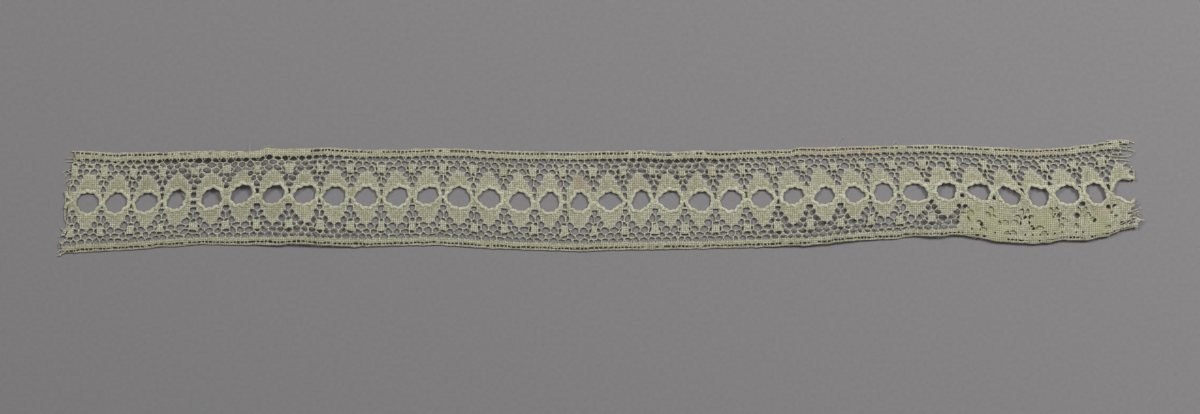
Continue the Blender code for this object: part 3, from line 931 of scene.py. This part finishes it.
def ecru_cotton(name, colours, tint=None, woven=True):
    """Bobbin-worked cotton thread, matt and slightly hairy, yellowed and soiled unevenly with age.

    The eye reads single threads first: a ribbed, slightly uneven weave in the cloth stitch, with painted
    shade in its grooves, then the blotches that handling and old starch have left, then the few stains.
    """
    made = bpy.data.materials.get(name)
    if made:
        return made
    made = bpy.data.materials.new(name)
    made.use_nodes = True
    tree = made.node_tree
    shader = tree.nodes["Principled BSDF"]
    where = add_node(tree, "ShaderNodeTexCoord", {}, {}).outputs["Object"]

    colour = patched(tree, where, PATCHES, 3.0, 0.35, 0.68, 1.0, colours.ecru, colours.pale)
    colour = patched(tree, where, SPOTS, 4.0, 0.52, 0.75, 1.0, colour, colours.soil_and_shade)
    along = add_node(tree, "ShaderNodeSeparateXYZ", {}, {"Vector": where}).outputs["X"]
    # Painted shade: the left end is darkened towards the soil-and-shade colour, for the weaker light there
    colour = tinted(tree, along, SHADED_LEFT_END[0] * MM, SHADED_LEFT_END[1] * MM, 0.33, colour, colours.soil_and_shade)
    if tint:
        colour = patched(tree, where, MILDEW, 2.0, 0.3, 0.7, 1.0, colour, tint)
    if woven:
        # The densest stitches are the brightest, and the thin plaits are washed out
        cloth = add_node(tree, "ShaderNodeAttribute", {"attribute_name": "cloth"}, {})
        dense = add_node(tree, "ShaderNodeMath", {"operation": "ABSOLUTE"}, {0: cloth.outputs["Fac"]})
        colour = tinted(tree, dense.outputs["Value"], 0.9, TALLY, 0.75, colour, colours.bright)
        colour = tinted(tree, dense.outputs["Value"], 0.5, 0.0, 0.85, colour, colours.washed)
    colour = patched(tree, where, SLUBS, 2.5, 0.44, 0.6, 0.62, colour, colours.dust_and_groove_shade)
    colour = stained(tree, where, colour, colours)

    hairs = add_node(tree, "ShaderNodeTexNoise", {}, {
        "Vector": where, "Scale": 1 / (HAIRS * MM), "Detail": 3.0}).outputs["Fac"]
    height = add_node(tree, "ShaderNodeMath", {"operation": "MULTIPLY"}, {0: hairs, 1: 0.5})
    if woven:
        lace = add_node(tree, "ShaderNodeUVMap", {"uv_map": "weave"}, {}).outputs["UV"]
        across, lengthways = (
            add_node(tree, "ShaderNodeTexWave", {"bands_direction": way}, {
                "Vector": lace, "Scale": WAVE_PERIOD / pitch, "Distortion": 1.4, "Detail": 2.0,
                "Detail Scale": 1.2}).outputs["Fac"]
            for way, pitch in WEAVE_PITCH.items())
        weave = add_node(tree, "ShaderNodeMix", {"data_type": "FLOAT"}, {
            "Factor": 0.4, "A": across, "B": lengthways}).outputs["Result"]
        # Painted shade: the grooves between the ribs, where the bump lies low, are darkened towards the
        # dust-and-shade colour
        colour = tinted(tree, weave, 0.62, 0.2, 0.86, colour, colours.dust_and_groove_shade)
        height = add_node(tree, "ShaderNodeMath", {"operation": "MULTIPLY_ADD"}, {
            0: weave, 1: 0.5, 2: height.outputs["Value"]})
    bump = add_node(tree, "ShaderNodeBump", {}, {
        "Height": height.outputs["Value"], "Strength": 0.9, "Distance": 0.3 * MM})
    tree.links.new(colour, shader.inputs["Base Color"])
    tree.links.new(bump.outputs["Normal"], shader.inputs["Normal"])
    shader.inputs["Roughness"].default_value = 0.88
    shader.inputs["Specular IOR Level"].default_value = 0.25
    shader.inputs["Sheen Weight"].default_value = 0.15
    shader.inputs["Sheen Roughness"].default_value = 0.5
    return made


def matt_board(colours):
    """Painted board: an even, shineless grey with a fine grain, with painted light making it a little
    lighter towards the right.
    """
    made = bpy.data.materials.new("matt grey board")
    made.use_nodes = True
    tree = made.node_tree
    shader = tree.nodes["Principled BSDF"]
    where = add_node(tree, "ShaderNodeTexCoord", {}, {}).outputs["Object"]
    along = add_node(tree, "ShaderNodeSeparateXYZ", {}, {"Vector": where}).outputs["X"]
    # Painted light: the board darkens to the left and lightens to the right, as the lamps' light does
    darker, lighter = (tuple(share * c for c in colours.floor) for share in (0.93, 1.07))
    tone = tinted(tree, along, -0.2, 0.2, 1.0, darker, lighter)
    noise = add_node(tree, "ShaderNodeTexNoise", {}, {
        "Vector": where, "Scale": 1 / (GRAIN * MM), "Detail": 3.0})
    share = add_node(tree, "ShaderNodeMapRange", {}, {
        "Value": noise.outputs["Fac"], "From Min": 0.3, "From Max": 0.7})
    tone = add_node(tree, "ShaderNodeMix", {"data_type": "RGBA", "blend_type": "MULTIPLY"}, {
        FACTOR: share.outputs["Result"], FIRST_COLOUR: tone, SECOND_COLOUR: (0.93, 0.93, 0.93)})
    tree.links.new(tone.outputs[MIXED_COLOUR], shader.inputs["Base Color"])
    shader.inputs["Roughness"].default_value = 0.9
    return made


def dress(obj, node, material):
    """Gives a piece its material, in a new slot, and its body, and hides the solid that it stands for."""
    obj.data.materials.append(material)
    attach(obj, BODY)
    if node:
        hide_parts(node)


def gimp_route(starts_above, sizes):
    """One of the two thick threads: over one hole, across its twin in the gap, and under the next."""
    uneven = random.Random(3 if starts_above else 4)
    sign = 1 if starts_above else -1
    flat = [(*point, 1.0) for point in GIMP_ENDS_LEFT[sign]]
    first = hole_centre(0)
    flat.append((first[0] + GIMP_START[0], first[1] + GIMP_START[1], START_WIDTH))
    for index in range(TORN_HOLE):
        side = sign if index % 2 == 0 else -sign
        for step in range(RIM_STEPS + 1):
            angle = side * math.radians(RIM_FROM - RIM_SWEEP * step / RIM_STEPS)
            bump = math.sin(SCALLOPS * 2 * math.pi * step / RIM_STEPS + index)
            bump *= uneven.uniform(0.6, 1.3)
            x, y = ring_point(index, angle, RIM_MARGIN + SCALLOP * bump)
            flat.append((x, y, 1.0 + SWELL * bump))
        here, after = ring_point(index, 0, RIM_MARGIN), ring_point(index + 1, math.pi, RIM_MARGIN)
        flat.append(((here[0] + after[0]) / 2, (here[1] + after[1]) / 2, CROSSING_WIDTH))
    end = sign if TORN_HOLE % 2 == 0 else -sign
    flat += [(*point, 1.0) for point in GIMP_ENDS_RIGHT[end]]
    route = []
    for x, y, share in flat:
        index = round((x - FIRST_HOLE) / REPEAT - 0.5)
        dip = 0.0
        if abs((x - FIRST_HOLE) / REPEAT - index - 0.5) < CROSSING_REACH:
            dip = OVER if (index % 2 == 0) == starts_above else UNDER
        z = strip_base(x * MM, y * MM, sizes) + sizes.gimp_height + dip * MM
        route.append(((x * MM, y * MM, z), share))
    return route


class LACE_OT_rims(bpy.types.Operator):
    """Make the two thick soft threads that run round the ribbon holes and cross between them"""

    bl_idname = "lace.rims"
    bl_label = "Rims of the ribbon holes"

    def execute(self, context):
        sizes, colours = context.scene.lace_sizes, context.scene.lace_colours
        routes = [gimp_route(starts_above, sizes) for starts_above in (True, False)]
        obj = make_threads("rims", routes, sizes.gimp, False, sizes.gimp_spread)
        # Loosely spun cotton, pressed flat: paler than the worked cloth, and without its weave
        soft = ecru_cotton("soft gimp cotton", colours, colours.pale, woven=False)
        dress(obj, None, soft)
        return {"FINISHED"}


class LACE_OT_frays(bpy.types.Operator):
    """Make the thread ends at both tears, the strays along the upper edge and those in one hole"""

    bl_idname = "lace.frays"
    bl_label = "Loose thread ends"

    def execute(self, context):
        sizes, colours = context.scene.lace_sizes, context.scene.lace_colours
        radius = sizes.loose_thread
        routes = []
        for thread in THREAD_ENDS + WHISKERS:
            share = FIBRE_WIDTH if thread in WHISKERS else 1.0
            route = []
            for step, (x, y) in enumerate(thread):
                place = Vector((x, y)) * MM
                base = strip_base(*place, sizes)
                if STRIP.covers(*place):
                    z = base + sizes.sheet_bottom + ON_LACE * radius
                else:
                    z = DROOP * base + 2 * radius
                route.append(((*place, z), share if step < len(thread) - 1 else TIP_WIDTH * share))
            routes.append(route)
        obj = make_threads("thread_ends", routes, radius, True)
        # Single cotton threads, sprung loose: they catch the light, so they are the brightest
        thin = ecru_cotton("loose cotton thread", colours, colours.bright, woven=False)
        dress(obj, None, thin)
        return {"FINISHED"}


class LACE_OT_net(bpy.types.Operator):
    """Make the two halves of the openwork strip, above and below its row of ribbon holes"""

    bl_idname = "lace.net"
    bl_label = "Net, petals and footsides"

    def execute(self, context):
        sizes, colours = context.scene.lace_sizes, context.scene.lace_colours
        first, last = -PAST_HOLES, TORN_HOLE * UNITS + PAST_HOLES
        # Worked cotton: a ribbed cloth stitch and thin, paler plaits
        cotton = ecru_cotton("ecru bobbin cotton", colours)

        def base(x, y):
            return strip_base(x, y, sizes) + sizes.sheet_bottom

        def covered(middle):
            inside = TRIMMED_FROM[0] * MM < middle.x < TRIMMED_FROM[1] * MM
            return inside or STRIP.covers(middle.x, middle.y)

        for name, side, seed in (("upper_lace", 1, 5), ("lower_lace", -1, 11)):
            felt = random.Random(seed + 1)

            def place(unit, share):
                return place_of(side, unit, share)

            def felted(row, low, high):
                x = place((low + high) / 2, LINES[side][row])[0]
                if side == -1 and x > OVER_SCRAP[1]:
                    return felt.random() < FELTED_OVER_SCRAP.get(row, FELTED_OVER_SCRAP_ELSE)
                if row == 0:
                    return felt.random() < FELTED_BESIDE_RIMS and not CLEAR[0] < x < CLEAR[1]
                if row == LADDER_ROW:
                    matted = side == 1 and MATTED[0] < x < MATTED[1]
                    return felt.random() < (FELTED_MATTED if matted else FELTED_LADDER)
                return False

            bm = make_net(side, first, last, 0, place, felted, sizes, seed)
            obj = finish_net(name, bm, covered, base, sizes.sheet_thickness, sizes.cloth_rise)
            dress(obj, "lace_strip", cotton)
        return {"FINISHED"}


class LACE_OT_scrap(bpy.types.Operator):
    """Make the narrow scrap of the same lace that lies under the lower right of the strip"""

    bl_idname = "lace.scrap"
    bl_label = "Scrap below"

    def execute(self, context):
        sizes, colours = context.scene.lace_sizes, context.scene.lace_colours
        outline = Underside("backing_patch")
        felt = random.Random(23)

        def place(unit, share):
            x = hole_line(unit + GAP)[0]
            return x, between(SCRAP_EDGE, x, 1) + SCRAP_DEPTH * (1 - share)

        def felted(row, low, high):
            return felt.random() < (FELTED_SCRAP_LADDER if row == LADDER_ROW else FELTED_SCRAP)

        first = math.floor((SCRAP_EDGE[0][0] - FIRST_HOLE) / REPEAT) * UNITS
        last = (TORN_HOLE + 1) * UNITS
        bm = make_net(-1, first, last, FIRST_MESH_LINE, place, felted, sizes, 17)
        obj = finish_net(
            "scrap", bm, lambda middle: outline.covers(middle.x, middle.y),
            lambda x, y: sizes.scrap_bottom, sizes.scrap_thickness, sizes.cloth_rise)
        # The same cotton, matted by damp: yellow-green blooms over its weave
        old = ecru_cotton("mildewed bobbin cotton", colours, colours.green)
        dress(obj, "backing_patch", old)
        return {"FINISHED"}


class LACE_OT_stage(bpy.types.Operator):
    """Set the plain pale floor, the two soft lamps and the camera straight above"""

    bl_idname = "lace.stage"
    bl_label = "Floor, lights and camera"

    def execute(self, context):
        scene = context.scene
        bm = bmesh.new()
        bmesh.ops.create_grid(bm, x_segments=8, y_segments=8, size=FLOOR_REACH)
        mesh = bpy.data.meshes.new("floor")
        bm.to_mesh(mesh)
        bm.free()
        mesh.materials.append(matt_board(scene.lace_colours))
        floor = bpy.data.objects.new("floor", mesh)
        scene.collection.objects.link(floor)

        for name, place, power in LAMPS:
            lamp = bpy.data.lights.new(name, "AREA")
            lamp.energy = power
            lamp.size = LAMP_SIZE
            obj = bpy.data.objects.new(name, lamp)
            obj.location = place
            obj.rotation_euler = (-obj.location).to_track_quat("-Z", "Y").to_euler()
            scene.collection.objects.link(obj)

        world = bpy.data.worlds.new("soft room light")
        world.use_nodes = True
        world.node_tree.nodes["Background"].inputs["Color"].default_value = (1, 1, 1, 1)
        world.node_tree.nodes["Background"].inputs["Strength"].default_value = ROOM_LIGHT
        scene.world = world
        scene.view_settings.view_transform = "Standard"

        camera = bpy.data.cameras.new("camera above")
        camera.lens = 100
        camera.sensor_width = 36
        camera.sensor_fit = "HORIZONTAL"
        camera.clip_start = 0.01
        obj = bpy.data.objects.new("camera above", camera)
        obj.location = (PHOTO_MIDDLE[0] * MM, PHOTO_MIDDLE[1] * MM, CAMERA_HEIGHT)
        scene.collection.objects.link(obj)
        scene.camera = obj
        return {"FINISHED"}


class LACE_PT_panel(bpy.types.Panel):
    """Lists the sizes, the colours and the steps of the lace"""

    bl_idname = "LACE_PT_panel"
    bl_label = "Lace insertion"
    bl_space_type = "VIEW_3D"
    bl_region_type = "UI"
    bl_category = "Lace"

    def draw(self, context):
        scene = context.scene
        for heading, group in (("Sizes", scene.lace_sizes), ("Colours", scene.lace_colours)):
            box = self.layout.box()
            box.label(text=heading)
            for key in group.bl_rna.properties.keys():
                if key not in {"rna_type", "name"}:
                    box.prop(group, key)
        steps = self.layout.column(align=True)
        for step in STEPS:
            steps.operator("lace." + step)


STEPS = ("stage", "rims", "frays", "net", "scrap")
CLASSES = (LaceSizes, LaceColours, LACE_OT_stage, LACE_OT_rims, LACE_OT_frays, LACE_OT_net,
           LACE_OT_scrap, LACE_PT_panel)


def register():
    for cls in CLASSES:
        bpy.utils.register_class(cls)
    bpy.types.Scene.lace_sizes = PointerProperty(type=LaceSizes)
    bpy.types.Scene.lace_colours = PointerProperty(type=LaceColours)


def unregister():
    del bpy.types.Scene.lace_colours
    del bpy.types.Scene.lace_sizes
    for cls in reversed(CLASSES):
        bpy.utils.unregister_class(cls)


def main():
    register()
    bpy.ops.lace.stage()
    bpy.ops.lace.rims()
    bpy.ops.lace.frays()
    bpy.ops.lace.net()
    bpy.ops.lace.scrap()


if __name__ == "__main__":
    main()
